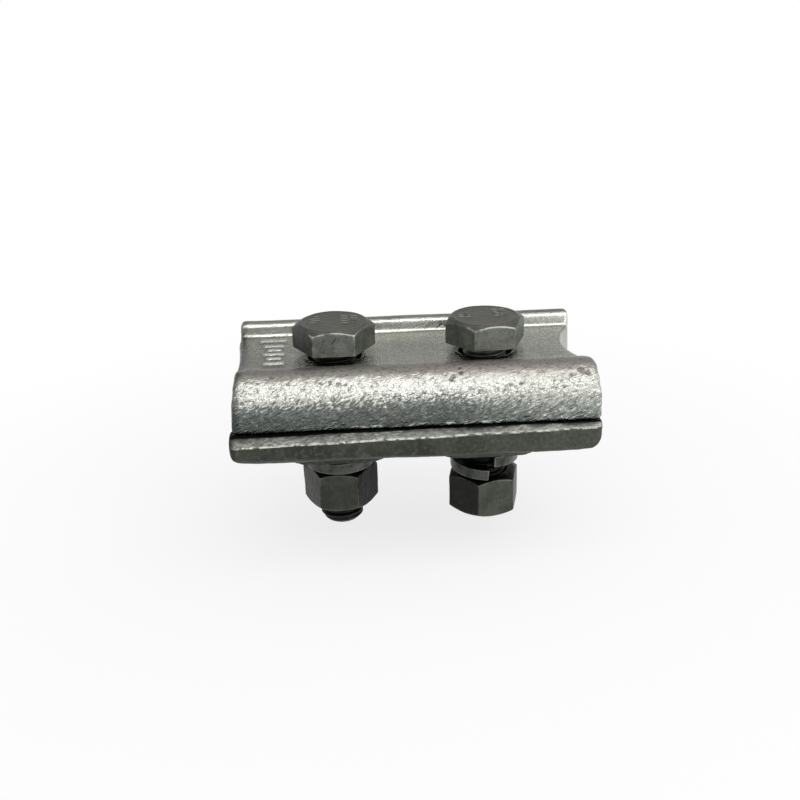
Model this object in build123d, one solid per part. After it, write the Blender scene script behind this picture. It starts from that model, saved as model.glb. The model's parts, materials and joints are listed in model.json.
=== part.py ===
from build123d import *
import math
import os

# Parallel groove clamp: two forged steel plates, clamped over two parallel strands by two M12 bolts.
# Millimetres. X runs along the grooves, Y from front to back, Z up.
# The clamp stands on the ends of its bolts, so z = 0 is the bolts' end plane and the origin lies
# midway between the bolts.

# Bolts
bolt_diameter = 11.8          # over the thread crests of an M12 bolt
bolt_length = 50.0            # under the head
bolt_spacing = 40.0
bolt_end_chamfer = 1.4
head_across_flats = 19.0
head_height = 7.5
bearing_ring_height = 0.5     # the round face under the head
bearing_ring_diameter = 16.8
head_top_circle = 17.4        # where the 30 degree chamfer starts on top of the head
chamfer_angle = 30.0
head_turn_left = 0.0          # from a flat facing the front
head_turn_right = 9.0
head_play = 1.8               # the bolts are pushed up, so the heads stand clear of the plate

# Nuts
nut_across_flats = 18.0
nut_height = 11.6
nut_face_circle = 16.6
nut_turn_left = -3.0
nut_turn_right = 15.0
nut_thread_clearance = 0.05
nut_mouth_chamfer = 0.6
turning_margin = 1.0          # how far the chamfering cone runs past the corners

# Spring washers, cut from square wire
washer_thickness = 3.1
washer_inner_diameter = 12.6
washer_radial_width = 3.1
washer_free_height = 7.0      # of the one that is not squashed
washer_slot = 1.2
washer_slot_slant = 18.0
free_washer_slot_turn = 6.0   # from the front, towards +X

# Both plates
clamp_length = 94.0

# Grooves for the strands
groove_diameter = 8.0
groove_offset = 15.0          # from the bolts' line
groove_flare = 0.9            # added to the radius where a groove leaves the plate
groove_flare_length = 1.8

# Body plate
body_front = 22.8             # from the bolts' line to the front face
body_back = 23.3
valley_thickness = 12.2
hump_rise = 1.8               # above the valley
hump_outer_radius = 7.7
hump_inner_radius = 6.0
hump_top_end = 13.4           # inner end of the hump's top, from the bolts' line
hump_foot = 9.2
ridge_foot = 17.1
ridge_lean = 0.4
ridge_rise = 3.4              # above the valley
ridge_front_round = 1.1
ridge_back_round = 2.4
ridge_foot_round = 1.1
parting_edge_round = 0.7
body_end_draft = 3.0
body_end_round = 1.0
right_hollow_depth = 4.8      # the ends are hollowed, in plan
right_hollow_front = 12.5     # where the hollow starts, from the bolts' line
right_hollow_back = 17.0
left_hollow_depth = 1.3
left_hollow_front = 30.0
left_hollow_back = 12.0
hollow_blend = 9.0
body_end_margin = 10.0        # how far the plan of the ends runs past the plate, front, back and above

# Keeper plate
keeper_front_left = 26.5      # the edges were trimmed a little askew
keeper_front_right = 25.0
keeper_trim = 0.3             # least width trimmed off each edge
keeper_flank_radius = 5.0
keeper_edge_thickness = 8.2
ledge_start = 22.8
ledge_angle = 31.0
rib_half_width = 9.6
rib_draft = 12.0
rib_root_round = 2.0
rib_thickness = 13.6
pad_thickness = 15.8
pad_half_length = 9.6
pad_slope_run = 5.6
rib_end_inset = 8.5
rib_end_run = 3.0
keeper_end_round = 4.2
keeper_end_depth = 7.4
keeper_corner_round = 2.0

# Holes in both plates
hole_diameter = 14.0
hole_mouth_chamfer = 0.5

# The stack, from the bolts' ends up
head_seat_z = bolt_length
parting_z = head_seat_z - head_play - valley_thickness
pad_z = parting_z - pad_thickness
left_nut_top_z = pad_z - washer_thickness
right_nut_top_z = pad_z - washer_free_height
bolt_places = {"left": -bolt_spacing / 2, "right": bolt_spacing / 2}

hollows = {                   # depth, front and back of the hollow in each end of the body plate
    -1: (left_hollow_depth, left_hollow_front, left_hollow_back),
    1: (right_hollow_depth, right_hollow_front, right_hollow_back),
}
hump_height = valley_thickness + hump_rise
ridge_height = valley_thickness + ridge_rise

matching_tolerance = 0.05     # for picking out edges by their radius or height


def round_corner(face, corner, radius):
    """Round the corner of a flat outline that lies nearest to a point."""
    nearest = face.vertices().sort_by_distance(Vector(*corner))[0]
    return fillet(nearest, radius)


def outline(corners):
    return make_face(Polyline(*corners, close=True))


def rounded_outline(corners):
    """A flat outline from corners of (x, y, radius)."""
    face = outline([(x, y) for x, y, radius in corners])
    for x, y, radius in corners:
        if radius > 0:
            face = round_corner(face, (x, y, 0), radius)
    return face


def mouths(solid, radius):
    """The round edges of a given radius."""
    return solid.edges().filter_by(GeomType.CIRCLE).filter_by(
        lambda edge: abs(edge.radius - radius) < matching_tolerance)


def drill_holes(plate, low_z, high_z):
    """Drill the two bolt holes and break their edges."""
    radius = hole_diameter / 2
    for x in bolt_places.values():
        plate -= Pos(x, 0, (low_z + high_z) / 2) * Cylinder(radius, high_z - low_z)
    return chamfer(mouths(plate, radius), hole_mouth_chamfer)


def cut_grooves(plate, length, end_reach):
    """Cut the two round channels on the parting plane, each flared where it leaves the plate."""
    radius = groove_diameter / 2
    channel = extrude(Plane.YZ * Circle(radius), length, both=True)
    # The cone's middle lies in the plate's end, so the wider half of it cuts only air.
    flare = Cone(radius, radius + 2 * groove_flare, 2 * groove_flare_length)
    for side in (-1, 1):
        y = side * groove_offset
        plate -= Pos(0, y, parting_z) * channel
        for end in (-1, 1):
            plate -= Pos(end * end_reach(end, y), y, parting_z) * Rot(0, end * 90, 0) * flare
    return plate


def body_reach(end, y):
    """How far the body plate reaches at one end, past its hollow, at a place across its width."""
    depth, front, back = hollows[end]
    half_chord = (front + back) / 2
    radius = (half_chord**2 + depth**2) / (2 * depth)
    off_middle = y - (back - front) / 2
    hollow = depth - radius + math.sqrt(radius**2 - off_middle**2)
    return clamp_length / 2 - max(hollow, 0)


def keeper_reach(end, y):
    return clamp_length / 2


def end_edges(plate, side):
    """The edges round one end of the body plate, apart from those on the parting plane."""
    end_facing = math.cos(math.radians(45))
    faces = plate.faces().filter_by(lambda face: face.normal_at().X * side > end_facing)
    edges = [edge for face in faces for edge in face.edges()]
    centres = [tuple(round(value, 3) for value in edge.center()) for edge in edges]
    return [
        edge for edge, centre in zip(edges, centres)
        if centres.count(centre) == 1 and centre[2] > parting_z + matching_tolerance
    ]


def make_body_plate():
    section = rounded_outline([
        (-body_front, 0, parting_edge_round),
        (-body_front, hump_height, hump_outer_radius),
        (-hump_top_end, hump_height, hump_inner_radius),
        (-hump_foot, valley_thickness, hump_inner_radius),
        (ridge_foot, valley_thickness, ridge_foot_round),
        (ridge_foot + ridge_lean, ridge_height, ridge_front_round),
        (body_back, ridge_height, ridge_back_round),
        (body_back, 0, parting_edge_round),
    ])
    bar = extrude(Pos(0, 0, parting_z) * (Plane.YZ * section), clamp_length / 2, both=True)

    half = clamp_length / 2
    depth = body_front + body_end_margin
    plan = Rectangle(2 * half, 2 * depth)
    for end, (hollow, front, back) in hollows.items():
        x = end * half
        arc = ThreePointArc((x, -front), (x - end * hollow, (back - front) / 2), (x, back))
        plan -= make_face(arc + Line((x, back), (x, -front)))
        plan = round_corner(plan, (x, -front, 0), hollow_blend)
        plan = round_corner(plan, (x, back, 0), hollow_blend)
    blank = extrude(Pos(0, 0, parting_z) * plan, ridge_height + body_end_margin, taper=body_end_draft)
    plate = bar & blank
    for side in (-1, 1):
        plate = fillet(end_edges(plate, side), body_end_round)
    plate = drill_holes(plate, parting_z, parting_z + valley_thickness)
    return cut_grooves(plate, clamp_length, body_reach)


def make_keeper_plate():
    half_width = max(keeper_front_left, keeper_front_right) + keeper_trim
    ledge_drop = (half_width - ledge_start) * math.tan(math.radians(ledge_angle))
    rib_root = rib_half_width + (pad_thickness - keeper_edge_thickness) * math.tan(math.radians(rib_draft))
    left = [
        (-ledge_start, 0, 0),
        (-half_width, -ledge_drop, 0),
        (-half_width, -keeper_edge_thickness, keeper_flank_radius),
        (-rib_root, -keeper_edge_thickness, rib_root_round),
        (-rib_half_width, -pad_thickness, 0),
    ]
    right = [(-y, z, radius) for y, z, radius in reversed(left)]
    section = rounded_outline(left + right)
    bar = extrude(Pos(0, 0, parting_z) * (Plane.YZ * section), clamp_length / 2, both=True)

    half = clamp_length / 2
    plan = rounded_outline([
        (-half, -keeper_front_left, keeper_corner_round),
        (half, -keeper_front_right, keeper_corner_round),
        (half, keeper_front_left, keeper_corner_round),
        (-half, keeper_front_right, keeper_corner_round),
    ])
    trimmed = extrude(Pos(0, 0, parting_z) * plan, -pad_thickness)

    inner = bolt_spacing / 2 - pad_half_length
    outer = bolt_spacing / 2 + pad_half_length
    rib_end = half - rib_end_inset
    profile_right = [
        (inner - pad_slope_run, -rib_thickness, rib_root_round),
        (inner, -pad_thickness, 0),
        (outer, -pad_thickness, 0),
        (outer + pad_slope_run, -rib_thickness, 0),
        (rib_end, -rib_thickness, rib_root_round),
        (rib_end + rib_end_run, -keeper_end_depth, 0),
        (half, -keeper_end_depth, keeper_end_round),
        (half, 0, 0),
    ]
    profile_left = [(-x, z, radius) for x, z, radius in reversed(profile_right)]
    side = rounded_outline(profile_right + profile_left)
    envelope = extrude(Pos(0, 0, parting_z) * (Plane.XZ * side), half_width, both=True)

    plate = bar & trimmed & envelope
    plate = drill_holes(plate, pad_z, parting_z)
    return cut_grooves(plate, clamp_length, keeper_reach)


def chamfered_hexagon(across_flats, height, circle, both_ends):
    """A hexagon prism whose corners are turned off by a 30 degree cone, at the top or at both ends."""
    prism = extrude(RegularPolygon(across_flats / 2, 6, major_radius=False), height)
    reach = across_flats / math.sqrt(3) + turning_margin
    drop = (reach - circle / 2) * math.tan(math.radians(chamfer_angle))
    top = [(0, height), (circle / 2, height), (reach, height - drop)]
    bottom = [(reach, drop), (circle / 2, 0), (0, 0)] if both_ends else [(reach, 0), (0, 0)]
    return prism & revolve(Plane.XZ * outline(top + bottom), Axis.Z)


def make_bolt(place, turn):
    head = chamfered_hexagon(head_across_flats, head_height - bearing_ring_height, head_top_circle, False)
    head = Pos(0, 0, head_seat_z + bearing_ring_height) * Rot(0, 0, turn) * head
    ring = Pos(0, 0, head_seat_z) * extrude(Circle(bearing_ring_diameter / 2), bearing_ring_height)
    shank = extrude(Circle(bolt_diameter / 2), head_seat_z)
    shank = chamfer(shank.edges().group_by(Axis.Z)[0], bolt_end_chamfer)
    return Pos(bolt_places[place], 0, 0) * (head + ring + shank)


def make_nut(place, top_z, turn):
    nut = chamfered_hexagon(nut_across_flats, nut_height, nut_face_circle, True)
    radius = bolt_diameter / 2 + nut_thread_clearance
    nut -= Pos(0, 0, nut_height / 2) * Cylinder(radius, nut_height)
    nut = chamfer(mouths(nut, radius), nut_mouth_chamfer)
    return Pos(bolt_places[place], 0, top_z - nut_height) * Rot(0, 0, turn) * nut


def make_flat_washer():
    """The squashed washer: a flat ring with a slanted slot at the back."""
    inner = washer_inner_diameter / 2
    outer = inner + washer_radial_width
    ring = extrude(Circle(outer) - Circle(inner), washer_thickness)
    # The cutter is far wider and taller than the ring, so the slanted cut runs right through it.
    cutter = Box(washer_slot, 3 * washer_radial_width, 3 * washer_thickness)
    middle = (inner + outer) / 2
    ring -= Pos(0, middle, washer_thickness / 2) * Rot(0, washer_slot_slant, 0) * cutter
    return Pos(bolt_places["left"], 0, left_nut_top_z) * ring


def make_sprung_washer():
    """The free washer: square wire wound as one left-hand turn, its upper end to the right of the slot."""
    middle = washer_inner_diameter / 2 + washer_radial_width / 2
    turn = 1 - washer_slot / (2 * math.pi * middle)
    arc_length = 2 * math.pi * middle * turn
    lead_angle = math.atan((washer_free_height - washer_thickness) / arc_length)
    rise = washer_free_height - washer_thickness * math.cos(lead_angle)
    path = Helix(rise / turn, rise, middle, lefthand=True)
    wire_plane = Plane(origin=path @ 0, x_dir=(1, 0, 0), z_dir=path % 0)
    wire = wire_plane * Rectangle(washer_radial_width, washer_thickness)
    coil = sweep(wire, path, is_frenet=True)
    start = -90 - washer_slot / 2 / middle * 180 / math.pi + free_washer_slot_turn
    low = coil.bounding_box().min.Z
    return Pos(bolt_places["right"], 0, right_nut_top_z - low) * Rot(0, 0, start) * coil


parts = {
    "body_plate": make_body_plate(),
    "keeper_plate": make_keeper_plate(),
    "bolt_left": make_bolt("left", head_turn_left),
    "bolt_right": make_bolt("right", head_turn_right),
    "spring_washer_left": make_flat_washer(),
    "spring_washer_right": make_sprung_washer(),
    "nut_left": make_nut("left", left_nut_top_z, nut_turn_left),
    "nut_right": make_nut("right", right_nut_top_z, nut_turn_right),
}

os.makedirs("parts", exist_ok=True)
for name, solid in parts.items():
    export_step(solid, f"parts/{name}.step")
    box = solid.bounding_box()
    low = ", ".join(f"{value:.2f}" for value in box.min)
    high = ", ".join(f"{value:.2f}" for value in box.max)
    print(f"{name}: {solid.volume / 1000:.2f} cm3, from ({low}) to ({high})")
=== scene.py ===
# %% [markdown]
# A parallel groove clamp for an overhead line: two forged steel plates, drawn together by two M12
# bolts over two parallel strands, all of it dipped in molten zinc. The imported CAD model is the
# frame that everything here is built round. This lesson turns its clean solids into castings with
# a rough zinc skin, cuts real threads on the bolts, and lights them as for a catalogue picture.

# %% Load the frame
import json
import math

import bmesh
import bpy
from mathutils import Matrix, Vector, kdtree, noise


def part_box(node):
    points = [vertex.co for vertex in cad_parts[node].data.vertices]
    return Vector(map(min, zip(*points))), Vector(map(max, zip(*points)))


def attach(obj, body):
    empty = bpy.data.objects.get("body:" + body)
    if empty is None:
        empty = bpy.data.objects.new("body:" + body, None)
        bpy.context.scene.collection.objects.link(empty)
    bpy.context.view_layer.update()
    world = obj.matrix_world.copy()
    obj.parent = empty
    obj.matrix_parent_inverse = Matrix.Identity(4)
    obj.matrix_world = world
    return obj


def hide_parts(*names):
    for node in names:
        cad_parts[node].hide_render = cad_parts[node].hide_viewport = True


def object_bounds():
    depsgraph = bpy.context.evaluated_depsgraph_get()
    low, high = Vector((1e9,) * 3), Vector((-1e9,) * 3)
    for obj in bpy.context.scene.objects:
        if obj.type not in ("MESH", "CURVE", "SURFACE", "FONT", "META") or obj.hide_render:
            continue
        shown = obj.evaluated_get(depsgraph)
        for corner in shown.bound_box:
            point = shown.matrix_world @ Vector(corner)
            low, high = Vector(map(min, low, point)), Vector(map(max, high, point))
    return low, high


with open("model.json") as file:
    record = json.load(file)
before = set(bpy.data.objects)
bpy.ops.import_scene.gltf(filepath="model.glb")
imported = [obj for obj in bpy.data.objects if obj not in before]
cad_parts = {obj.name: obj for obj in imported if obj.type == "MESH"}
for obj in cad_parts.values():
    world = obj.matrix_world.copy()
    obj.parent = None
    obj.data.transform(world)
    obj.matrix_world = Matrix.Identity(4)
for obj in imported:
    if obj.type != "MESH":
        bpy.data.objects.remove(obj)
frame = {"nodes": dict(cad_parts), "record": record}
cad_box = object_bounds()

MM = 0.001
print("clamp, mm:", [round(value / MM, 1) for value in cad_box[1] - cad_box[0]])

# %% [markdown]
# Every piece is placed from the frame. The bolts' places, the top of their heads and the plane on
# which the two plates meet are read from the nodes' boxes, so nothing here has to be fitted.

# %% Places read from the frame
body_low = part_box("body_plate")[0]
bolt_boxes = {side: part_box(f"bolt_{side}") for side in ("left", "right")}
nut_boxes = {side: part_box(f"nut_{side}") for side in ("left", "right")}
bolt_x = {side: (low.x + high.x) / 2 for side, (low, high) in bolt_boxes.items()}
head_top = bolt_boxes["left"][1].z
parting = body_low.z
print("bolts at x, mm:", {side: round(x / MM, 2) for side, x in bolt_x.items()})

# %% [markdown]
# A box can't tell the forging's own heights, so these few sizes are given. The noise that roughens
# the plates stops short of their holes and pads. Fine faces show crisp edges, so the fasteners get
# finer ones than the plates.

# %% Sizes of the forging and of the faces
half_length = 47 * MM
valley = parting + 12.2 * MM
hump_top = parting + 14.0 * MM
hump_radius = 7.7 * MM
hump_axis = Vector((0, body_low.y + hump_radius, hump_top - hump_radius))
hole_rim, pad_rim = 8.4 * MM, 11.5 * MM                    # from a bolt's axis
plate_face, fastener_face, washer_face = 0.42 * MM, 0.2 * MM, 0.16 * MM

# %% [markdown]
# A voxel remesh melts a solid into small even faces, as if it were made of wax. That is what a
# forging with a zinc skin needs: its edges go soft, raised marks grow out of it without a seam,
# and there are enough points to push it about. The copy is merged first, because an imported
# mesh is loose triangles.


# %% Melt a CAD copy into even faces
def merged_copy(node):
    """A bmesh copy of a CAD node, its loose triangles joined."""
    bm = bmesh.new()
    bm.from_mesh(frame["nodes"][node].data)
    bmesh.ops.remove_doubles(bm, verts=bm.verts, dist=0.001 * MM)
    return bm


def smooth(bm, verts, rounds):
    for _ in range(rounds):
        bmesh.ops.smooth_vert(
            bm, verts=verts, factor=0.5, use_axis_x=True, use_axis_y=True, use_axis_z=True)


def melted(bm, face_size, rounds):
    """Remesh a closed bmesh into even faces and smooth it a few times."""
    mesh = bpy.data.meshes.new("melting")
    bm.to_mesh(mesh)
    bm.free()
    holder = bpy.data.objects.new("melting", mesh)
    bpy.context.scene.collection.objects.link(holder)
    remesh = holder.modifiers.new("voxels", "REMESH")
    remesh.mode = "VOXEL"
    remesh.voxel_size = face_size
    depsgraph = bpy.context.evaluated_depsgraph_get()
    even = bpy.data.meshes.new_from_object(holder.evaluated_get(depsgraph))
    bpy.data.objects.remove(holder)
    melt = bmesh.new()
    melt.from_mesh(even)
    bpy.data.meshes.remove(even)
    smooth(melt, melt.verts, rounds)
    melt.normal_update()
    return melt


# %% [markdown]
# Zinc wears bright where an edge stands proud, and there the fasteners' material also paints a
# highlight; in hollows the materials paint shade. How far a point stands above the mean of its
# neighbours says which it is, so that is worked out once, before the skin gets rough, and stored on
# the mesh for the materials to read. Pits and scratches are written into the same numbers later, as
# painted shade.


# %% Store where the skin is worn, painted bright or painted dark
def mark_wear_highlight_and_shade(bm, reach, spread=2):
    """A point attribute: above 0.5 on convex edges, below it in hollow corners.

    A height of half the reach gives the full 1 or 0. Spread is how many rounds blur it.
    """
    layer = bm.verts.layers.float.new("wear_highlight_and_shade")
    height = {}
    for vert in bm.verts:
        middle = sum((edge.other_vert(vert).co for edge in vert.link_edges), Vector())
        middle /= max(len(vert.link_edges), 1)
        height[vert] = (vert.co - middle).dot(vert.normal)
    for _ in range(spread):
        height = {
            vert: (value + sum(height[edge.other_vert(vert)] for edge in vert.link_edges))
            / (len(vert.link_edges) + 1)
            for vert, value in height.items()
        }
    for vert, value in height.items():
        vert[layer] = min(max(0.5 + value / reach, 0.0), 1.0)


# %% [markdown]
# Each side of a nut, a bolt head or a washer is painted with its own light or shade: each direction
# gets a tone, and a point takes the tones of the directions that it faces. The higher the power, the
# sharper the change from one side to the next.


# %% Store the painted light and shade of each side
def mark_tones(bm, tones):
    """A point attribute of painted light and shade from (direction, tone) pairs."""
    layer = bm.verts.layers.float.new("painted_light")
    power, plain_tone, least_total = 8, 0.8, 1e-6
    directions = [Vector(direction).normalized() for direction, painted_light in tones]
    for vert in bm.verts:
        weights = [max(vert.normal.dot(direction), 0.0) ** power for direction in directions]
        total = sum(weights)
        mixed = sum(weight * painted_light for weight, (direction, painted_light) in zip(weights, tones))
        vert[layer] = mixed / total if total > least_total else plain_tone


# %% [markdown]
# The skin itself is moved along its normals by noise. Broad noise makes the wavy faces and
# wandering edges of a forging, and fine noise makes the lumps that zinc leaves on a rough one. On
# the hump they are drawn out along a slant, the way the zinc ran off. All of it leans inwards, so
# that hardly any leaves the CAD box.

# %% Roughen a skin
grain_turn = Matrix.Rotation(math.radians(35), 3, "Y")
grain_squeeze = Matrix.Diagonal((0.5, 1.0, 1.0))
inward_lean = 0.4


def swell(place, size, seed, drawn=False):
    """Smooth noise between -1 and 1, whose lumps are about as wide as size."""
    if drawn:
        place = grain_squeeze @ grain_turn @ place
    return noise.noise(place / size + Vector((seed, -seed, 2 * seed)))


def roughen(bm, layers, mask=None, drawn=False):
    """Push points along their normals by (size, height, seed) layers of noise, under a mask."""
    moves = []
    for vert in bm.verts:
        share = mask(vert) if mask else 1.0
        if share <= 0:
            continue
        push = sum(
            height * (swell(vert.co, size, seed, drawn) - inward_lean) for size, height, seed in layers)
        moves.append((vert, vert.normal * push * share))
    for vert, move in moves:
        vert.co += move
    bm.normal_update()


def fade(value, start, end):
    """0 before start, 1 past end, and smooth between them; start may be the larger one."""
    share = min(max((value - start) / (end - start), 0.0), 1.0)
    return share * share * (3 - 2 * share)


# %% [markdown]
# A pit is a small hollow with painted shade in it, and a scratch is a row of very small ones.


# %% Pits and scratches
def pit(bm, place, radius, depth, painted_shade):
    """Sink the points round a place, and lower their wear value by painted_shade, which paints shade
    there.
    """
    layer = bm.verts.layers.float["wear_highlight_and_shade"]
    for vert in bm.verts:
        share = fade((vert.co - place).length, radius, 0.3 * radius)
        if share > 0:
            vert.co -= vert.normal * depth * share
            vert[layer] = max(vert[layer] - painted_shade * share, 0.0)


def scratch(bm, start, end, width, depth):
    """A row of pits that overlap, each with a little painted shade."""
    steps = math.ceil((end - start).length / (0.6 * width))
    for step in range(steps + 1):
        pit(bm, start.lerp(end, step / steps), width, depth, painted_shade=0.2)


# %% [markdown]
# Each finished bmesh becomes an object that rides on the CAD body it belongs to and stands for
# the plain CAD node. Whatever the noise has pushed out of that node's box is pushed back.


# %% Finish a piece
def finish_piece(bm, name, body, node, material):
    low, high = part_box(node)
    for vert in bm.verts:
        vert.co = Vector([min(max(value, least), most) for value, least, most in zip(vert.co, low, high)])
    bm.normal_update()
    mesh = bpy.data.meshes.new(name)
    bm.to_mesh(mesh)
    faces = len(bm.faces)
    bm.free()
    for polygon in mesh.polygons:
        polygon.use_smooth = True
    mesh.materials.append(material)
    piece = bpy.data.objects.new(name, mesh)
    bpy.context.scene.collection.objects.link(piece)
    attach(piece, body)
    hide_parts(node)
    print(f"{name}: {faces} faces")


# %% [markdown]
# The materials are built from a few node shapes again and again: noise in millimetres on Object
# coordinates, a ramp, a mix. Small helpers keep each material short enough to read.


# %% Node helpers
def set_socket(tree, source, socket):
    """Link a node's output to a socket, or write a number or a colour straight onto it."""
    if isinstance(source, (int, float)):
        socket.default_value = source
    elif isinstance(source, tuple):
        socket.default_value = (*source, 1.0)
    else:
        tree.links.new(source, socket)


def map_range(tree, source, low, high, out_low, out_high, smooth=True):
    """Map low..high to out_low..out_high; low may be the larger one."""
    node = tree.nodes.new("ShaderNodeMapRange")
    node.interpolation_type = "SMOOTHSTEP" if smooth else "LINEAR"
    ends = {"Value": source, "From Min": low, "From Max": high, "To Min": out_low, "To Max": out_high}
    for key, value in ends.items():
        set_socket(tree, value, node.inputs[key])
    return node.outputs["Result"]


class Finish:
    """One material's node tree, with short calls for the nodes that a zinc finish needs."""

    def __init__(self, name):
        self.material = bpy.data.materials.new(name)
        self.material.use_nodes = True
        self.tree = self.material.node_tree
        self.tree.nodes.clear()
        self.output = self.add("ShaderNodeOutputMaterial")
        self.shader = self.add("ShaderNodeBsdfPrincipled")
        self.tree.links.new(self.shader.outputs["BSDF"], self.output.inputs["Surface"])
        self.place = self.add("ShaderNodeTexCoord").outputs["Object"]
        parts = self.add("ShaderNodeSeparateXYZ")
        self.link(self.place, parts.inputs[0])
        self.x, self.y, self.z = parts.outputs

    def add(self, kind, **settings):
        node = self.tree.nodes.new(kind)
        for key, value in settings.items():
            setattr(node, key, value)
        return node

    def link(self, source, socket):
        set_socket(self.tree, source, socket)

    def noise(self, size, detail=3.0, roughness=0.55, drawn=None):
        """Noise whose lumps are about size millimetres wide, or drawn out by (scale, turn)."""
        place = self.place
        if drawn:
            scale, turn = drawn
            mapping = self.add("ShaderNodeMapping", vector_type="TEXTURE")
            self.link(place, mapping.inputs["Vector"])
            mapping.inputs["Scale"].default_value = scale
            mapping.inputs["Rotation"].default_value = [math.radians(angle) for angle in turn]
            place = mapping.outputs["Vector"]
        node = self.add("ShaderNodeTexNoise")
        self.link(place, node.inputs["Vector"])
        node.inputs["Scale"].default_value = 1 / (size * MM)
        node.inputs["Detail"].default_value = detail
        node.inputs["Roughness"].default_value = roughness
        return node.outputs["Fac"]

    def span(self, source, low, high, out_low=0.0, out_high=1.0, smooth=True):
        return map_range(self.tree, source, low, high, out_low, out_high, smooth)

    def zone(self, source, start, end, base=0.0):
        """0 before start and 1 past end, in millimetres above base; start may be the larger one."""
        return self.span(source, base + start * MM, base + end * MM)

    def wander(self, noise, reach):
        """The noise as a shift of up to reach millimetres either way."""
        return self.span(noise, 0.3, 0.7, -reach * MM, reach * MM)

    def gloss(self, grain, low, high):
        """A roughness between low and high, broken up by fine noise."""
        return self.span(grain, 0.3, 0.7, low, high, smooth=False)

    def math(self, operation, *terms):
        """Fold the terms together by one operation."""
        total = terms[0]
        for term in terms[1:]:
            node = self.add("ShaderNodeMath", operation=operation)
            self.link(total, node.inputs[0])
            self.link(term, node.inputs[1])
            total = node.outputs[0]
        return total

    def plus(self, *terms):
        return self.math("ADD", *terms)

    def minus(self, *terms):
        return self.math("SUBTRACT", *terms)

    def times(self, *terms):
        return self.math("MULTIPLY", *terms)

    def most(self, *terms):
        return self.math("MAXIMUM", *terms)

    def blend(self, share, first, second, kind="MIX"):
        """Mix two colours."""
        node = self.add("ShaderNodeMix", data_type="RGBA", blend_type=kind)
        self.link(share, node.inputs["Factor"])
        self.link(first, node.inputs[6])
        self.link(second, node.inputs[7])
        return node.outputs[2]

    def attribute(self, name):
        return self.add("ShaderNodeAttribute", attribute_name=name).outputs["Fac"]

    def bumps(self, *layers):
        """Chain bumps of (height source, depth in millimetres)."""
        normal = None
        for source, depth in layers:
            node = self.add("ShaderNodeBump")
            node.inputs["Strength"].default_value = 1.0
            node.inputs["Distance"].default_value = depth * MM
            self.link(source, node.inputs["Height"])
            if normal:
                self.link(normal, node.inputs["Normal"])
            normal = node.outputs["Normal"]
        self.link(normal, self.shader.inputs["Normal"])

    def surface(self, color, metallic, roughness):
        self.link(color, self.shader.inputs["Base Color"])
        self.link(metallic, self.shader.inputs["Metallic"])
        self.link(roughness, self.shader.inputs["Roughness"])
        return self.material
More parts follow.
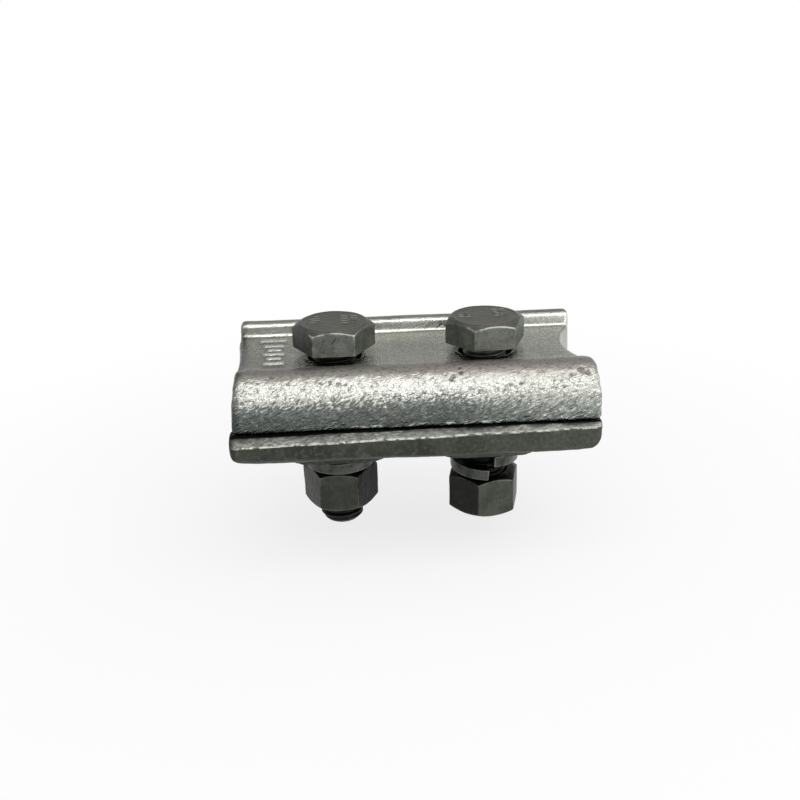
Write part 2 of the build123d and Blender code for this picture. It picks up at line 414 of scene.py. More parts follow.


# %% [markdown]
# The body plate's zinc: painted bright and speckled as a highlight where the hump turns to the sky,
# warmer and duller on its crest, painted blue-grey shade low on the front, and smooth mid-grey in
# the valley. A painted shadow runs along the line where the plates meet, and painted shade lies in
# its hollows, under the bolts' heads and at its left end.


# %% Zinc on the body plate
def body_zinc():
    f = Finish("zinc_on_body_plate")
    clouds = f.noise(9.0, detail=4)
    speckle = f.noise(1.7, detail=3, roughness=0.62, drawn=((2.0, 1.0, 1.0), (0, -35, 0)))
    flecks = f.noise(0.8, detail=2, roughness=0.6, drawn=((1.7, 1.0, 1.0), (0, -30, 0)))
    glints = f.noise(0.55, detail=2, roughness=0.6, drawn=((2.2, 1.0, 1.0), (0, -33, 0)))
    grain = f.noise(0.3, detail=2)
    right_end = f.zone(f.x, 5, 40)
    toward_right = f.span(f.x, -45 * MM, 45 * MM, smooth=False)
    dull, bright = (0.38, 0.385, 0.348), (0.45, 0.456, 0.412)
    color = f.blend(f.span(clouds, 0.35, 0.65), dull, bright)

    # The hump, painted bright as the overhead lamp's highlight, and the duller crest on it, whose edge
    # wanders and lies higher on the right.
    on_hump = f.zone(f.y, -9, -12)
    uneven_height = f.plus(f.z, f.wander(clouds, 0.3), f.wander(speckle, 0.8),
                           f.span(f.x, -25 * MM, 25 * MM, 0.0, 1.0 * MM))
    on_crest = f.times(f.zone(f.y, -9.5, -13), f.zone(uneven_height, 11.7, 13, parting))
    color = f.blend(on_hump, color, f.blend(right_end, (0.66, 0.665, 0.61), (0.57, 0.578, 0.525)))
    color = f.blend(on_crest, color, (0.37, 0.35, 0.322))

    # The ridge: its front face, painted lighter towards the right where the side lamp falls, its top,
    # darker towards the right, and a painted highlight along its edge and another at its foot.
    on_ridge = f.zone(f.y, 17, 17.6)
    on_ridge_top = f.times(on_ridge, f.zone(f.z, 15.1, 15.4, parting))
    ridge_edge = f.times(on_ridge, f.zone(f.y, 18.9, 18.4), f.zone(f.z, 14.4, 14.8, parting))
    ridge_foot = f.times(f.zone(f.y, 16.3, 16.6), f.zone(f.y, 17.6, 17.3),
                         f.zone(f.z, 12.7, 12.45, parting))
    face = f.blend(toward_right, (0.29, 0.3, 0.258), (0.62, 0.655, 0.59))
    color = f.blend(f.times(on_ridge, f.zone(f.y, 21.5, 20.5)), color, face)
    top = f.blend(toward_right, (0.3, 0.291, 0.243), (0.135, 0.132, 0.108))
    color = f.blend(f.times(on_ridge_top, 0.9), color, top)
    painted_highlight_lines = f.times(f.most(ridge_edge, ridge_foot), f.span(speckle, 0.3, 0.42))
    color = f.blend(painted_highlight_lines, color, (0.8, 0.81, 0.75))

    # The painted highlight breaks up into painted glints downwards, sooner on the left, and then gets
    # darker still: painted shade low on the front, painted lighter on the right where the side lamp
    # falls.
    ragged_height = f.plus(f.z, f.wander(clouds, 0.4), f.wander(glints, 2.2),
                           f.span(right_end, 0.0, 1.0, 0.0, 2.0 * MM, smooth=False))
    middle_front = f.times(on_hump, f.zone(ragged_height, 8.6, 6.4, parting))
    low_front = f.times(on_hump, f.zone(ragged_height, 5.6, 3, parting))
    color = f.blend(middle_front, color, f.blend(right_end, (0.185, 0.2, 0.187), (0.34, 0.362, 0.335)))
    color = f.blend(low_front, color, f.blend(right_end, (0.115, 0.129, 0.121), (0.215, 0.232, 0.216)))

    # Dark flecks, painted glints low on the front, and the mark's bright bar tops.
    dark_flecks = f.times(f.span(flecks, 0.47, 0.33), f.span(on_hump, 0.0, 1.0, 0.15, 0.6))
    color = f.blend(dark_flecks, color, (0.12, 0.122, 0.112))
    foot_glints = f.times(f.zone(f.z, 1.3, 0.9, parting), f.span(clouds, 0.4, 0.55), f.span(speckle, 0.45, 0.58))
    painted_glints = f.times(f.span(flecks, 0.56, 0.65), f.zone(f.z, 8, 5, parting),
                    f.most(f.times(right_end, 0.9), 0.15))
    color = f.blend(f.times(on_hump, f.most(painted_glints, foot_glints)), color, (0.62, 0.64, 0.59))
    # The tops of the mark's bars are painted bright, as wear and as a highlight.
    on_mark = f.times(f.zone(f.x, -31, -32), f.zone(f.y, 14.5, 14), f.zone(f.y, -8.5, -7.5),
                      f.zone(f.z, 12.26, 12.42, parting))
    color = f.blend(f.times(on_mark, 0.8), color, (0.72, 0.73, 0.68))

    # Painted shade in the hollows, under the heads and at the left end, and a painted shadow along the
    # parting line.
    hollow_shade = f.times(f.span(f.attribute("wear_highlight_and_shade"), 0.42, 0.12), f.span(ridge_foot, 0.5, 0.1), 0.7)
    color = f.blend(hollow_shade, color, (0.06, 0.06, 0.053))
    shade = f.most(f.attribute("sheltered"), f.times(f.attribute("left_end"), 0.8))
    color = f.blend(f.times(shade, f.span(speckle, 0.62, 0.42, 0.6, 1.0)), color, (0.055, 0.058, 0.054))
    painted_shade = f.zone(f.plus(f.z, f.wander(speckle, 0.15)), 0.2, -0.05, parting)
    color = f.blend(f.times(painted_shade, on_hump), color, (0.006, 0.007, 0.008))

    rough = f.plus(f.gloss(grain, 0.2, 0.32), f.times(on_crest, 0.1))
    relief = f.plus(0.3, f.times(on_hump, 0.7), f.times(on_crest, -0.8))
    lumps = f.times(f.minus(speckle, 0.5), relief)
    ridges = f.times(f.minus(glints, 0.5), relief)
    f.bumps((lumps, 0.6), (ridges, 0.5), (grain, 0.05))
    return f.surface(color, 1.0, rough)


# %% [markdown]
# The keeper plate's colour is painted dark, partly as the shade it stands in and partly as darker
# weathering, and lighter towards the right where the side lamp falls. Its sloping ledge is a
# lighter, duller grey, with a bright line along its lip, worn where the flash was trimmed off and
# painted as a highlight. Painted shade lies near and in the parting line.


# %% Zinc on the keeper plate
def keeper_zinc():
    f = Finish("zinc_on_keeper_plate")
    clouds = f.noise(7.0, detail=4)
    speckle = f.noise(1.1, detail=4, roughness=0.6)
    streaks = f.noise(1.0, detail=3, drawn=((1.5, 1.0, 1.0), (0, 0, 0)))
    grain = f.noise(0.3, detail=2)
    toward_right = f.zone(f.x, -10, 45)
    # Painted dark as shade, and lighter towards the right where the side lamp falls.
    color = f.blend(f.span(clouds, 0.35, 0.65), (0.042, 0.046, 0.037), (0.064, 0.069, 0.057))
    color = f.blend(f.times(toward_right, 0.6), color, (0.09, 0.096, 0.08))
    color = f.blend(f.times(f.span(speckle, 0.5, 0.68), 0.35), color, (0.14, 0.148, 0.128))

    # Both edges were trimmed askew: the front ledge ends lower on the left, the back one on the right.
    askew = f.times(f.x, f.span(f.y, -1 * MM, 1 * MM, 1.0, -1.0))
    lip_height = f.span(
        askew, -half_length, half_length, parting - 2.22 * MM, parting - 1.32 * MM, smooth=False)
    above_lip = f.minus(f.z, lip_height)
    outwards = f.most(f.y, f.times(f.y, -1.0))
    past_grooves = f.zone(outwards, 20.5, 21.5)

    # The ledge, painted lighter towards the right and darker near the parting line as shade, and the
    # mating face inside it, painted darker as shade.
    ledge = f.blend(f.span(streaks, 0.35, 0.65), (0.19, 0.19, 0.172), (0.29, 0.293, 0.266))
    ledge = f.blend(f.times(toward_right, 0.5), ledge, (0.36, 0.362, 0.325))
    near_parting = f.times(f.zone(outwards, 24.6, 23.1), past_grooves)
    ledge = f.blend(f.times(near_parting, f.span(clouds, 0.62, 0.42)), ledge, (0.05, 0.053, 0.05))
    ledge = f.blend(f.span(outwards, 21.5 * MM, 20.5 * MM, 0.0, 0.7), ledge, (0.1, 0.102, 0.092))
    color = f.blend(f.zone(f.plus(above_lip, f.wander(streaks, 0.12)), -0.2, 0.05), color, ledge)
    color = f.blend(f.times(f.span(speckle, 0.48, 0.34), 0.3), color, (0.03, 0.03, 0.027))

    # The lip, worn and painted with a highlight, the painted shade at the left end, and a painted shadow
    # in the parting line.
    lip = f.times(f.zone(above_lip, -0.3, -0.1), f.zone(above_lip, 0.3, 0.1),
                  f.span(streaks, 0.4, 0.55), f.span(toward_right, 0.0, 1.0, 0.8, 0.5))
    color = f.blend(lip, color, (0.48, 0.49, 0.445))
    color = f.blend(f.times(f.attribute("left_end"), 0.85), color, (0.035, 0.038, 0.032))
    thicker_left = f.span(f.x, 5 * MM, -45 * MM, 0.0, 0.45 * MM)
    painted_shade = f.times(f.zone(f.plus(f.z, f.wander(speckle, 0.15)), -1.1, -0.6, parting),
                   f.zone(f.minus(outwards, thicker_left), 23.15, 22.9), past_grooves)
    color = f.blend(painted_shade, color, (0.005, 0.006, 0.006))
    f.bumps((speckle, 0.3), (streaks, 0.12), (grain, 0.06))
    return f.surface(color, 1.0, f.gloss(grain, 0.36, 0.5))


# %% [markdown]
# The bolts, nuts and spring washers are spun-galvanised: an even, dull grey. One recipe serves
# them all, with its own tones for each; the nuts' and washers' tones are painted darker, as the shade
# low under the clamp. Each side takes its painted light and shade from an attribute, hollows are
# painted dark as shade, and worn edges near a head's top are painted bright, as wear and as a
# highlight.


# %% Zinc on the fasteners
def fastener_zinc(name, dark, light, top, wear_and_highlight, roughness):
    f = Finish(name)
    wear_highlight_and_shade = f.attribute("wear_highlight_and_shade")
    clouds = f.noise(3.5, detail=4)
    speckle = f.noise(0.7, detail=3)
    grain = f.noise(0.25, detail=2)
    color = f.blend(f.span(clouds, 0.35, 0.65), dark, light)
    color = f.blend(f.zone(f.z, -0.75, -0.3, head_top), color, top)
    # The painted light and shade of each side, read from its attribute.
    shade = f.add("ShaderNodeCombineColor")
    painted_light = f.attribute("painted_light")
    for socket in shade.inputs[:3]:
        f.link(painted_light, socket)
    color = f.blend(1.0, color, shade.outputs[0], "MULTIPLY")
    color = f.blend(f.times(f.span(speckle, 0.46, 0.3), 0.45), color, tuple(0.35 * c for c in dark))
    # Worn edges near the top of a head are painted bright, as wear and as a highlight.
    rim = f.span(f.z, head_top - 2.0 * MM, head_top - 1.4 * MM, 0.4, 0.85)
    color = f.blend(f.times(f.span(wear_highlight_and_shade, 0.62, 0.9), f.span(clouds, 0.38, 0.52), rim), color, wear_and_highlight)
    # Painted shade in the hollows.
    color = f.blend(f.times(f.span(wear_highlight_and_shade, 0.4, 0.1), 0.8), color, (0.015, 0.015, 0.014))
    f.bumps((speckle, 0.1), (grain, 0.04))
    return f.surface(color, 1.0, f.gloss(grain, *roughness))


zinc_on_body = body_zinc()
zinc_on_keeper = keeper_zinc()
zinc_on_bolts = fastener_zinc(
    "zinc_on_bolts", dark=(0.13, 0.137, 0.124), light=(0.19, 0.198, 0.177), top=(0.175, 0.172, 0.15),
    wear_and_highlight=(0.42, 0.42, 0.375), roughness=(0.34, 0.48))
# The washers and nuts are painted darker than the bolts, as the shade low under the clamp.
zinc_on_washers = fastener_zinc(
    "zinc_on_washers", dark=(0.042, 0.046, 0.04), light=(0.09, 0.095, 0.083), top=(0.1, 0.1, 0.09),
    wear_and_highlight=(0.28, 0.29, 0.26), roughness=(0.3, 0.45))
zinc_on_nuts = fastener_zinc(
    "zinc_on_nuts", dark=(0.043, 0.046, 0.038), light=(0.06, 0.064, 0.054), top=(0.06, 0.06, 0.05),
    wear_and_highlight=(0.17, 0.176, 0.155), roughness=(0.34, 0.48))

# %% [markdown]
# A forged mark stands on the left of the valley. It is only a stack of plain bars here, and all of
# them are sunk a little into the plate, so that the remesh grows them out of it.


# %% Plain raised bars
mark_bars = [(-36.9, 12.4, 7.4), (-36.4, 8.0, 5.4), (-36.2, 4.7, 3.6), (-36.1, 1.5, 5.4),
             (-35.9, -1.9, 3.8), (-35.7, -5.6, 5.4)]       # x, y and length
bar_width, bar_depth = 1.15, 1.1


def add_mark(bm):
    """Small blocks that the remesh melts into the valley."""
    for x, y, length in mark_bars:
        block = bmesh.ops.create_cube(bm, size=1.0)["verts"]
        bmesh.ops.scale(bm, verts=block, vec=Vector((length, bar_width, bar_depth)) * MM)
        bmesh.ops.translate(bm, verts=block, vec=Vector((x * MM, y * MM, valley)))


# %% [markdown]
# Two more attributes go on the plates: how far a bolt's head shelters a point from the light, and
# how near it lies to the left end's face, which the photographer's lights hardly reached.


# %% Shelter and the left end
def mark_share(bm, name, share_of):
    """A point attribute from a function of the point."""
    layer = bm.verts.layers.float.new(name)
    for vert in bm.verts:
        vert[layer] = share_of(vert)


def bolt_gap(place):
    """The distance to the nearer bolt's axis."""
    return min(math.hypot(place.x - x, place.y) for x in bolt_x.values())


def under_head(vert):
    """0.9 at a bolt's hole, fading out under the edge of the head."""
    on_top = vert.co.z > parting + 10 * MM
    return 0.9 * fade(bolt_gap(vert.co), 11.5 * MM, 6.5 * MM) if on_top else 0.0


def left_end_share(bm, width):
    """A function that is 1 on the left end's face and fades out within the given width of it."""
    left_part = -40 * MM
    end_face = [vert.co.copy() for vert in bm.verts if vert.normal.x < -0.8 and vert.co.x < left_part]
    tree = kdtree.KDTree(len(end_face))
    for index, place in enumerate(end_face):
        tree.insert(place, index)
    tree.balance()

    def share(vert):
        return fade(tree.find(vert.co)[2], width, 0.3 * width) if vert.co.x <= left_part else 0.0

    return share


# %% [markdown]
# The body plate: melted, its edges found, the ends of its hump rounded off by more smoothing, then
# roughened and pitted. A mask keeps the noise off the mating face and out of the bolt holes.

# %% Body plate
def body_mask(vert):
    """0 at the holes and on the mating face, 1 elsewhere."""
    return 0.0 if bolt_gap(vert.co) < hole_rim or vert.co.z < parting + 0.2 * MM else 1.0


def hump_mask(vert):
    """Full strength on the hump, weak elsewhere, and weaker on the crest."""
    on_hump = fade(vert.co.y, -8.0 * MM, -12.0 * MM)
    on_crest = fade(vert.co.z, parting + 12.0 * MM, parting + 13.4 * MM)
    return body_mask(vert) * (0.25 + 0.75 * on_hump) * (1 - 0.55 * on_crest)


bm = merged_copy("body_plate")
add_mark(bm)
bm = melted(bm, plate_face, 2)
hump_ends = [
    vert for vert in bm.verts
    if abs(vert.co.x) > 42.0 * MM and vert.co.y < -8 * MM and vert.co.z > parting + 8 * MM]
smooth(bm, hump_ends, 25)
bm.normal_update()
mark_wear_highlight_and_shade(bm, 0.06 * MM)
mark_share(bm, "sheltered", under_head)
mark_share(bm, "left_end", left_end_share(bm, 2.6 * MM))
roughen(bm, [(14 * MM, 0.2 * MM, 3.1)], body_mask)
roughen(bm, [(2.0 * MM, 0.12 * MM, 7.7), (1.0 * MM, 0.09 * MM, 1.3)], hump_mask, drawn=True)
hump_pits = (                                              # x, y and radius
    (-23.3, -20.3, 0.7), (-21.1, -20.1, 0.8), (-19.0, -20.5, 0.8), (-17.3, -20.8, 0.6),
    (-10.8, -21.2, 0.6), (-31.5, -20.1, 0.8), (8.8, -20.6, 0.7), (9.5, -19.9, 0.9),
    (11.5, -19.1, 0.8), (11.4, -17.6, 0.6), (23.6, -21.8, 0.7), (26.2, -21.7, 0.8),
    (39.1, -20.6, 0.8), (41.6, -19.6, 1.3), (43.4, -20.4, 1.1), (37.0, -22.3, 0.6))
for x, y, radius in hump_pits:
    z = hump_axis.z + math.sqrt(hump_radius ** 2 - (y * MM - hump_axis.y) ** 2)
    pit(bm, Vector((x * MM, y * MM, z)), 1.3 * radius * MM, 0.18 * MM, painted_shade=0.45)
bm.normal_update()
finish_piece(bm, "body_plate_zinc", "body", "body_plate", zinc_on_body)

# %% [markdown]
# The keeper plate is made the same way. Along its front and back the top face is dropped by a
# hair, because real forgings never meet there, and that makes the dark parting line.


# %% Keeper plate
def keeper_mask(vert):
    """0 at the holes, on the pads and on the mating face, 1 elsewhere."""
    return 0.0 if bolt_gap(vert.co) < pad_rim or vert.co.z > parting - 0.2 * MM else 1.0


def lip_mask(vert):
    """1 along the trimmed lips, front and back."""
    depth = parting - vert.co.z
    outer = fade(abs(vert.co.y), 23.5 * MM, 24.5 * MM)
    return outer * fade(depth, 1.4 * MM, 2.0 * MM) * fade(depth, 4.0 * MM, 2.8 * MM)


bm = melted(merged_copy("keeper_plate"), plate_face, 3)
mark_share(bm, "left_end", left_end_share(bm, 2.2 * MM))
parting_drop, drop_start = 0.15 * MM, parting - 3 * MM
for vert in bm.verts:
    if vert.co.z > drop_start:
        outer = fade(abs(vert.co.y), 19.6 * MM, 21.6 * MM)
        vert.co.z -= parting_drop * outer * fade(vert.co.z, drop_start, parting - 0.3 * MM)
roughen(bm, [(13 * MM, 0.25 * MM, 5.2)], keeper_mask)
roughen(bm, [(2.4 * MM, 0.07 * MM, 2.9), (1.1 * MM, 0.035 * MM, 8.3)], keeper_mask)
roughen(bm, [(2.4 * MM, 0.16 * MM, 4.7)], lip_mask)
finish_piece(bm, "keeper_plate_zinc", "keeper", "keeper_plate", zinc_on_keeper)

# %% [markdown]
# A bolt is two shells in one piece: the head, melted from the CAD copy after its shank is cut
# off, and a real thread. The thread is one line of teeth, spun once round the axis while it rises
# by one pitch, so that the end of the turn meets the start of the next.

# %% Thread sizes
thread_pitch = 1.75 * MM
thread_depth = 1.0 * MM
thread_crest = 5.9 * MM
thread_root = thread_crest - thread_depth
thread_steps = 48
bolt_end_bevel = 1.4 * MM
head_seat = head_top - 7.5 * MM
low_flank, high_flank = thread_root + 0.25 * thread_depth, thread_crest - 0.1 * thread_depth
tooth = ((0.0, thread_root), (0.17, thread_root), (0.3, low_flank), (0.48, high_flank),
         (0.56, thread_crest), (0.66, thread_crest), (0.74, high_flank), (0.92, low_flank))


# %% Spin a thread
def all_of(verts):
    """The verts with their faces and those faces' edges, each once and in a fixed order."""
    faces = list(dict.fromkeys(face for vert in verts for face in vert.link_faces))
    return verts + faces + list(dict.fromkeys(edge for face in faces for edge in face.edges))


def cut_level(bm, verts, height, normal):
    """Cut away what lies past a level plane, above it for a normal of 1 and below it for -1."""
    return bmesh.ops.bisect_plane(
        bm, geom=all_of(verts), plane_co=(0, 0, height), plane_no=(0, 0, normal), clear_outer=True,
        dist=0.0)


def add_thread(bm, x, low, high):
    """A right-handed thread from low to high, closed at both ends. Gives back its verts."""
    before = set(bm.verts)

    def thread():
        return [vert for vert in bm.verts if vert not in before]

    turns = math.ceil((high - low) / thread_pitch) + 2
    line = [
        bm.verts.new((x + radius, 0, low + (turn - 1 + share) * thread_pitch))
        for turn in range(turns) for share, radius in tooth
    ]
    edges = [bm.edges.new(pair) for pair in zip(line, line[1:])]
    bmesh.ops.spin(
        bm, geom=line + edges, cent=(x, 0, 0), axis=(0, 0, 1), angle=2 * math.pi, steps=thread_steps,
        dvec=(0, 0, thread_pitch / thread_steps), use_duplicate=False)
    bmesh.ops.remove_doubles(bm, verts=thread(), dist=0.01 * MM)
    cut_level(bm, thread(), low, -1)
    cut_level(bm, thread(), high, 1)
    bmesh.ops.remove_doubles(bm, verts=thread(), dist=0.01 * MM)
    ends = [edge for edge in bm.edges if edge.is_boundary and edge.verts[0] not in before]
    bmesh.ops.holes_fill(bm, edges=ends, sides=0)
    return thread()


# %% [markdown]
# The bolts' heads carry faint plain bars where real ones carry a grade. The top is sunk by their
# height and only they stay standing, so that nothing rises above the CAD head.


# %% Bars on a head
def stand_bars(bm, x, bars, height):
    """Sink the top of a head but for (x, y, length, turn) bars, placed from its middle."""
    layer = bm.verts.layers.float["wear_highlight_and_shade"]
    for vert in bm.verts:
        place = (vert.co - Vector((x, 0, 0))).xy
        if vert.co.z < head_top - 0.3 * MM or vert.normal.z < 0.9:
            continue
        standing = 0.0
        for bar_x, bar_y, length, turn in bars:
            offset = Matrix.Rotation(-math.radians(turn), 2) @ (place / MM - Vector((bar_x, bar_y)))
            share = fade(abs(offset.y), 0.55, 0.25) * fade(abs(offset.x), length / 2 + 0.2, length / 2)
            standing = max(standing, share)
        inside = fade(place.length, 8.6 * MM, 7.6 * MM)
        vert.co.z -= height * inside * (1 - standing)
        # Standing bars count as worn, so the material paints them bright, as wear and as a highlight.
        vert[layer] = max(vert[layer], 0.5 + 0.5 * standing)


# %% [markdown]
# Each bolt has its own painted light and shade on the three sides in view. Its few scratches are in
# front, and only there are its edges painted bright, as wear and as a highlight.

# %% Bolts
facing_left, facing_front, facing_right = (-0.87, -0.5, 0), (0, -1, 0), (0.87, -0.5, 0)
side_tones = {
    "left": [(facing_left, 0.38), (facing_front, 1.0), (facing_right, 1.5)],
    "right": [(facing_left, 1.35), ((0.15, -0.99, 0), 0.95), ((0.94, -0.34, 0), 0.9)],
}
other_tones = [
    ((0, 0, 1), 1.0), ((0, 1, 0), 0.8), ((-0.87, 0.5, 0), 0.6), ((0.87, 0.5, 0), 0.8), ((0, 0, -1), 0.4),
    ((0, -0.5, 0.87), 0.8), ((-0.43, -0.25, 0.87), 0.7), ((0.43, -0.25, 0.87), 0.8)]
# Painted light and shade on the thread near the head: the left one dark in shade, the right one lit.
thread_tones = {"left": 0.12, "right": 0.8}                # added towards the head
head_bars = {
    "left": [(-5.2 + 0.25 * row, 4.2 - 1.7 * row, 2.4, 12) for row in range(4)]
    + [(2.9 + 2.6 * column, 4.0 - 1.9 * row, 1.6, -8) for row in range(4) for column in (0, 1)],
    "right": [(-6.4 + 1.9 * column, 2.6 - 1.6 * row, 1.4, 35) for row in range(3) for column in (0, 1)]
    + [(3.0 + 2.0 * column, 4.6 - 1.7 * row, 1.6, 25) for row in range(4) for column in (0, 1)],
}
head_scratches = {
    "left": [((-2.4, -9.5, 55.4), (-3.3, -9.5, 52.8)), ((0.7, -9.5, 55.6), (-0.7, -9.5, 54.1)),
             ((-1.5, -9.5, 51.8), (-1.5, -9.5, 51.6))],
    "right": [((3.2, -9.9, 54.5), (3.5, -9.9, 54.2)), ((3.4, -9.9, 52.9), (3.6, -9.9, 52.8))],
}


def bolt_head(side):
    """The head alone, melted, with the bolt cut off a little below its seat."""
    bm = merged_copy(f"bolt_{side}")
    cut = cut_level(bm, list(bm.verts), head_seat - 0.6 * MM, -1)
    rim = [part for part in cut["geom_cut"] if isinstance(part, bmesh.types.BMEdge)]
    bmesh.ops.edgeloop_fill(bm, edges=rim)
    return melted(bm, fastener_face, 5)


for side, x in bolt_x.items():
    bm = bolt_head(side)
    mark_wear_highlight_and_shade(bm, 0.028 * MM)
    # Only edges in front keep their full wear, so only they are painted bright, as wear and as a
    # highlight.
    wear_highlight_and_shade = bm.verts.layers.float["wear_highlight_and_shade"]
    for vert in bm.verts:
        vert[wear_highlight_and_shade] = min(vert[wear_highlight_and_shade], 0.62 + 0.38 * fade(vert.co.y, -7.6 * MM, -8.6 * MM))
    mark_tones(bm, side_tones[side] + other_tones)
    stand_bars(bm, x, head_bars[side], 0.12 * MM)
    roughen(bm, [(6 * MM, 0.12 * MM, 4.4 + x / MM), (1.6 * MM, 0.035 * MM, 6.1)])
    axis = Vector((x, 0, 0))
    for start, stop in head_scratches[side]:
        scratch(bm, axis + Vector(start) * MM, axis + Vector(stop) * MM, 0.3 * MM, 0.05 * MM)

    # The thread, with its end bevelled, painted shade in its roots, and a painted tone that lifts towards
    # the head.
    end = bolt_boxes[side][0].z
    wear_highlight_and_shade, painted_light = bm.verts.layers.float["wear_highlight_and_shade"], bm.verts.layers.float["painted_light"]
    for vert in add_thread(bm, x, end, head_seat + 0.4 * MM):
        reach = math.hypot(vert.co.x - x, vert.co.y)
        allowed = thread_crest - bolt_end_bevel + (vert.co.z - end)
        if reach > allowed:
            vert.co.x = x + (vert.co.x - x) * allowed / reach
            vert.co.y *= allowed / reach
            reach = allowed
        vert[wear_highlight_and_shade] = 0.3 + 0.2 * fade(reach, thread_root, thread_crest)
        vert[painted_light] = 0.16 + thread_tones[side] * fade(vert.co.z, parting, head_seat - 3 * MM)
    bmesh.ops.recalc_face_normals(bm, faces=bm.faces)
    finish_piece(bm, f"bolt_{side}_zinc", "body", f"bolt_{side}", zinc_on_bolts)

# %% [markdown]
# Nuts and spring washers only need their edges softened, a little unevenness, and the painted light and
# shade of their sides.

# %% Nuts and washers
# Painted light and shade for each side of the nuts and washers, lighter where the lamps reach.
nut_tones = {
    "left": [(facing_left, 0.6), (facing_front, 1.0), (facing_right, 0.25), ((0, 0, -1), 0.5),
             ((0, 0, 1), 0.5), ((0, 1, 0), 0.8)],
    "right": [((-0.71, -0.71, 0), 0.38), ((0.26, -0.97, 0), 1.45), ((0.97, -0.26, 0), 0.8),
              ((0, 0, -1), 0.6), ((0, 0, 1), 0.5), ((0, 1, 0), 0.9)],
}
washer_tones = [(facing_left, 0.8), (facing_front, 0.9), (facing_right, 1.5), ((0, 0, 1), 0.5),
                ((0, 0, -1), 0.4)]
nut_bore = 6.3 * MM


def nut_mask(vert):
    """The bore stays true, so that the thread in it stays clear."""
    return fade(bolt_gap(vert.co), nut_bore, nut_bore + 1.0 * MM)


for side, seed in (("left", 1.7), ("right", 6.3)):
    bm = melted(merged_copy(f"nut_{side}"), fastener_face, 5)
    mark_wear_highlight_and_shade(bm, 0.028 * MM)
    mark_tones(bm, nut_tones[side])
    roughen(bm, [(6 * MM, 0.12 * MM, seed), (1.5 * MM, 0.035 * MM, seed + 2)], nut_mask)
    finish_piece(bm, f"nut_{side}_zinc", f"nut_{side}", f"nut_{side}", zinc_on_nuts)

for side, seed in (("left", 3.3), ("right", 8.1)):
    bm = melted(merged_copy(f"spring_washer_{side}"), washer_face, 3)
    mark_wear_highlight_and_shade(bm, 0.025 * MM)
    mark_tones(bm, washer_tones)
    roughen(bm, [(3 * MM, 0.07 * MM, seed), (1.2 * MM, 0.03 * MM, seed + 2)])
    finish_piece(bm, f"spring_washer_{side}_zinc", "keeper", f"spring_washer_{side}",
                 zinc_on_washers)

# %% [markdown]
# The camera stands where the photographer did: a little above the clamp, slightly rolled. Its
# place was worked out from the corners of the bolt heads and the ends of the plates.

# %% Camera
camera_target = Vector((-2.98, 0, 34.22)) * MM
camera_distance = 271.45 * MM
camera_yaw, camera_pitch, camera_roll = 0.04576, 0.39168, 0.02554
focal_pixels, frame_pixels, sensor = 1000.5, 800, 36.0

ahead = Vector((
    math.sin(camera_yaw) * math.cos(camera_pitch),
    math.cos(camera_yaw) * math.cos(camera_pitch),
    -math.sin(camera_pitch)))
level = Vector((math.cos(camera_yaw), -math.sin(camera_yaw), 0))
down = ahead.cross(level)
right = math.cos(camera_roll) * level + math.sin(camera_roll) * down
down = -math.sin(camera_roll) * level + math.cos(camera_roll) * down

camera = bpy.data.objects.new("camera", bpy.data.cameras.new("camera"))
bpy.context.scene.collection.objects.link(camera)
camera.data.sensor_width = sensor
camera.data.lens = focal_pixels / frame_pixels * sensor
camera.data.clip_start = 0.01
turn = Matrix((right, -down, -ahead)).transposed()
camera.matrix_world = Matrix.Translation(camera_target - camera_distance * ahead) @ turn.to_4x4()
bpy.context.scene.camera = camera

# %% [markdown]
# The floor is pale and matt, and turns up at the back and the sides like a sheet of paper, beyond
# the edge of the picture. Part of its paleness is its own, for the camera and for reflections, so
# that it looks white without any more light falling on the clamp. The rest is lit, which keeps the
# clamp's shadow, and that part fades away with distance. The floor lies a little below the bolts'
# ends, to leave room for the nuts when they are undone.

# %% Floor
travel = frame["record"]["behaviour"]["joints"][0]["range_m"][1]
lowest_nut = min(low.z for low, high in nut_boxes.values())
floor_gap = 0.5 * MM
floor_level = min(cad_box[0].z, lowest_nut - travel) - floor_gap
print("floor, mm below the clamp:", round((cad_box[0].z - floor_level) / MM, 2))
floor_reach, upturn = 4.0, 0.4
floor_mesh = bpy.data.meshes.new("floor")
bm = bmesh.new()
bmesh.ops.create_grid(bm, x_segments=1, y_segments=1, size=floor_reach)
far_edges = [edge for edge in bm.edges if any(vert.co.y > 0 for vert in edge.verts)]
raised = bmesh.ops.extrude_edge_only(bm, edges=far_edges)["geom"]
raised = [part for part in raised if isinstance(part, bmesh.types.BMVert)]
bmesh.ops.translate(bm, verts=raised, vec=(0, 0, upturn))
bmesh.ops.translate(bm, verts=bm.verts, vec=(0, 0, floor_level))
bm.to_mesh(floor_mesh)
bm.free()
floor = bpy.data.objects.new("floor", floor_mesh)
bpy.context.scene.collection.objects.link(floor)

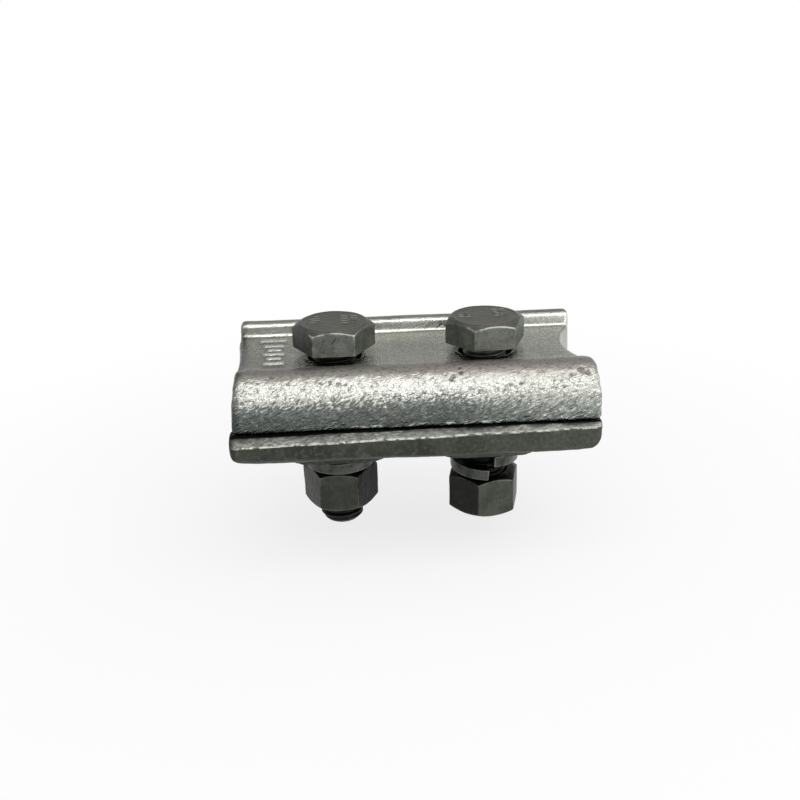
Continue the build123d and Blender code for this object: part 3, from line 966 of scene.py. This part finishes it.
paper = Finish("pale_floor")
paper.tree.nodes.remove(paper.shader)
matt = paper.add("ShaderNodeBsdfDiffuse")
paper.link((0.8, 0.8, 0.8), matt.inputs["Color"])
glow = paper.add("ShaderNodeEmission")
paper.link((1.0, 1.0, 1.0), glow.inputs["Color"])
path = paper.add("ShaderNodeLightPath").outputs
seen = paper.most(path["Is Camera Ray"], path["Is Glossy Ray"], path["Is Transmission Ray"])
distance = paper.add("ShaderNodeVectorMath", operation="LENGTH")
paper.link(paper.place, distance.inputs[0])
near, far = 0.07, 0.22                                     # metres from the clamp's middle
own = paper.span(distance.outputs["Value"], near, far, 0.75, 1.0)
mixed = paper.add("ShaderNodeMixShader")
for socket, source in zip(mixed.inputs, (paper.times(seen, own), matt.outputs[0], glow.outputs[0])):
    paper.link(source, socket)
paper.link(mixed.outputs[0], paper.output.inputs["Surface"])
floor_mesh.materials.append(paper.material)

# %% [markdown]
# The room round the clamp is bright on the photographer's side and overhead, dimmer behind the
# clamp and dimmer on the left. A shiny thing in an evenly white room shows no shape.

# %% Room
world = bpy.data.worlds.new("studio")
bpy.context.scene.world = world
world.use_nodes = True
tree = world.node_tree
tree.nodes.clear()
direction = tree.nodes.new("ShaderNodeTexCoord")
axes = tree.nodes.new("ShaderNodeSeparateXYZ")
tree.links.new(direction.outputs["Generated"], axes.inputs[0])
sideways, away, upwards = axes.outputs
behind = map_range(tree, upwards, 0.1, 0.38, 0.85, 0.55)
front_to_back = map_range(tree, away, 0.62, 0.4, behind, 1.0)
left_to_right = map_range(tree, sideways, -0.7, 0.5, 0.75, 1.1)
product = tree.nodes.new("ShaderNodeMath")
product.operation = "MULTIPLY"
tree.links.new(front_to_back, product.inputs[0])
tree.links.new(left_to_right, product.inputs[1])
backdrop = tree.nodes.new("ShaderNodeBackground")
tree.links.new(product.outputs[0], backdrop.inputs["Strength"])
world_output = tree.nodes.new("ShaderNodeOutputWorld")
tree.links.new(backdrop.outputs[0], world_output.inputs["Surface"])

# %% [markdown]
# One broad soft lamp overhead gives the hump its bright band and the clamp its shadow. A weaker
# one on the right lifts that end, as in the photograph.


# %% Lamps
lamp_aim = Vector((0, 0, 0.04))


def add_lamp(name, place, width, height, watts):
    light = bpy.data.lights.new(name, "AREA")
    light.shape = "RECTANGLE"
    light.size, light.size_y = width, height
    light.energy = watts
    lamp = bpy.data.objects.new(name, light)
    bpy.context.scene.collection.objects.link(lamp)
    lamp.location = place
    lamp.rotation_euler = (lamp_aim - Vector(place)).to_track_quat("-Z", "Y").to_euler()


add_lamp("overhead", (0.05, -0.32, 0.62), 0.9, 0.4, 2.6)
add_lamp("right_fill", (0.5, -0.45, 0.2), 0.3, 0.3, 0.8)

# %% Colour management
bpy.context.scene.view_settings.view_transform = "Standard"
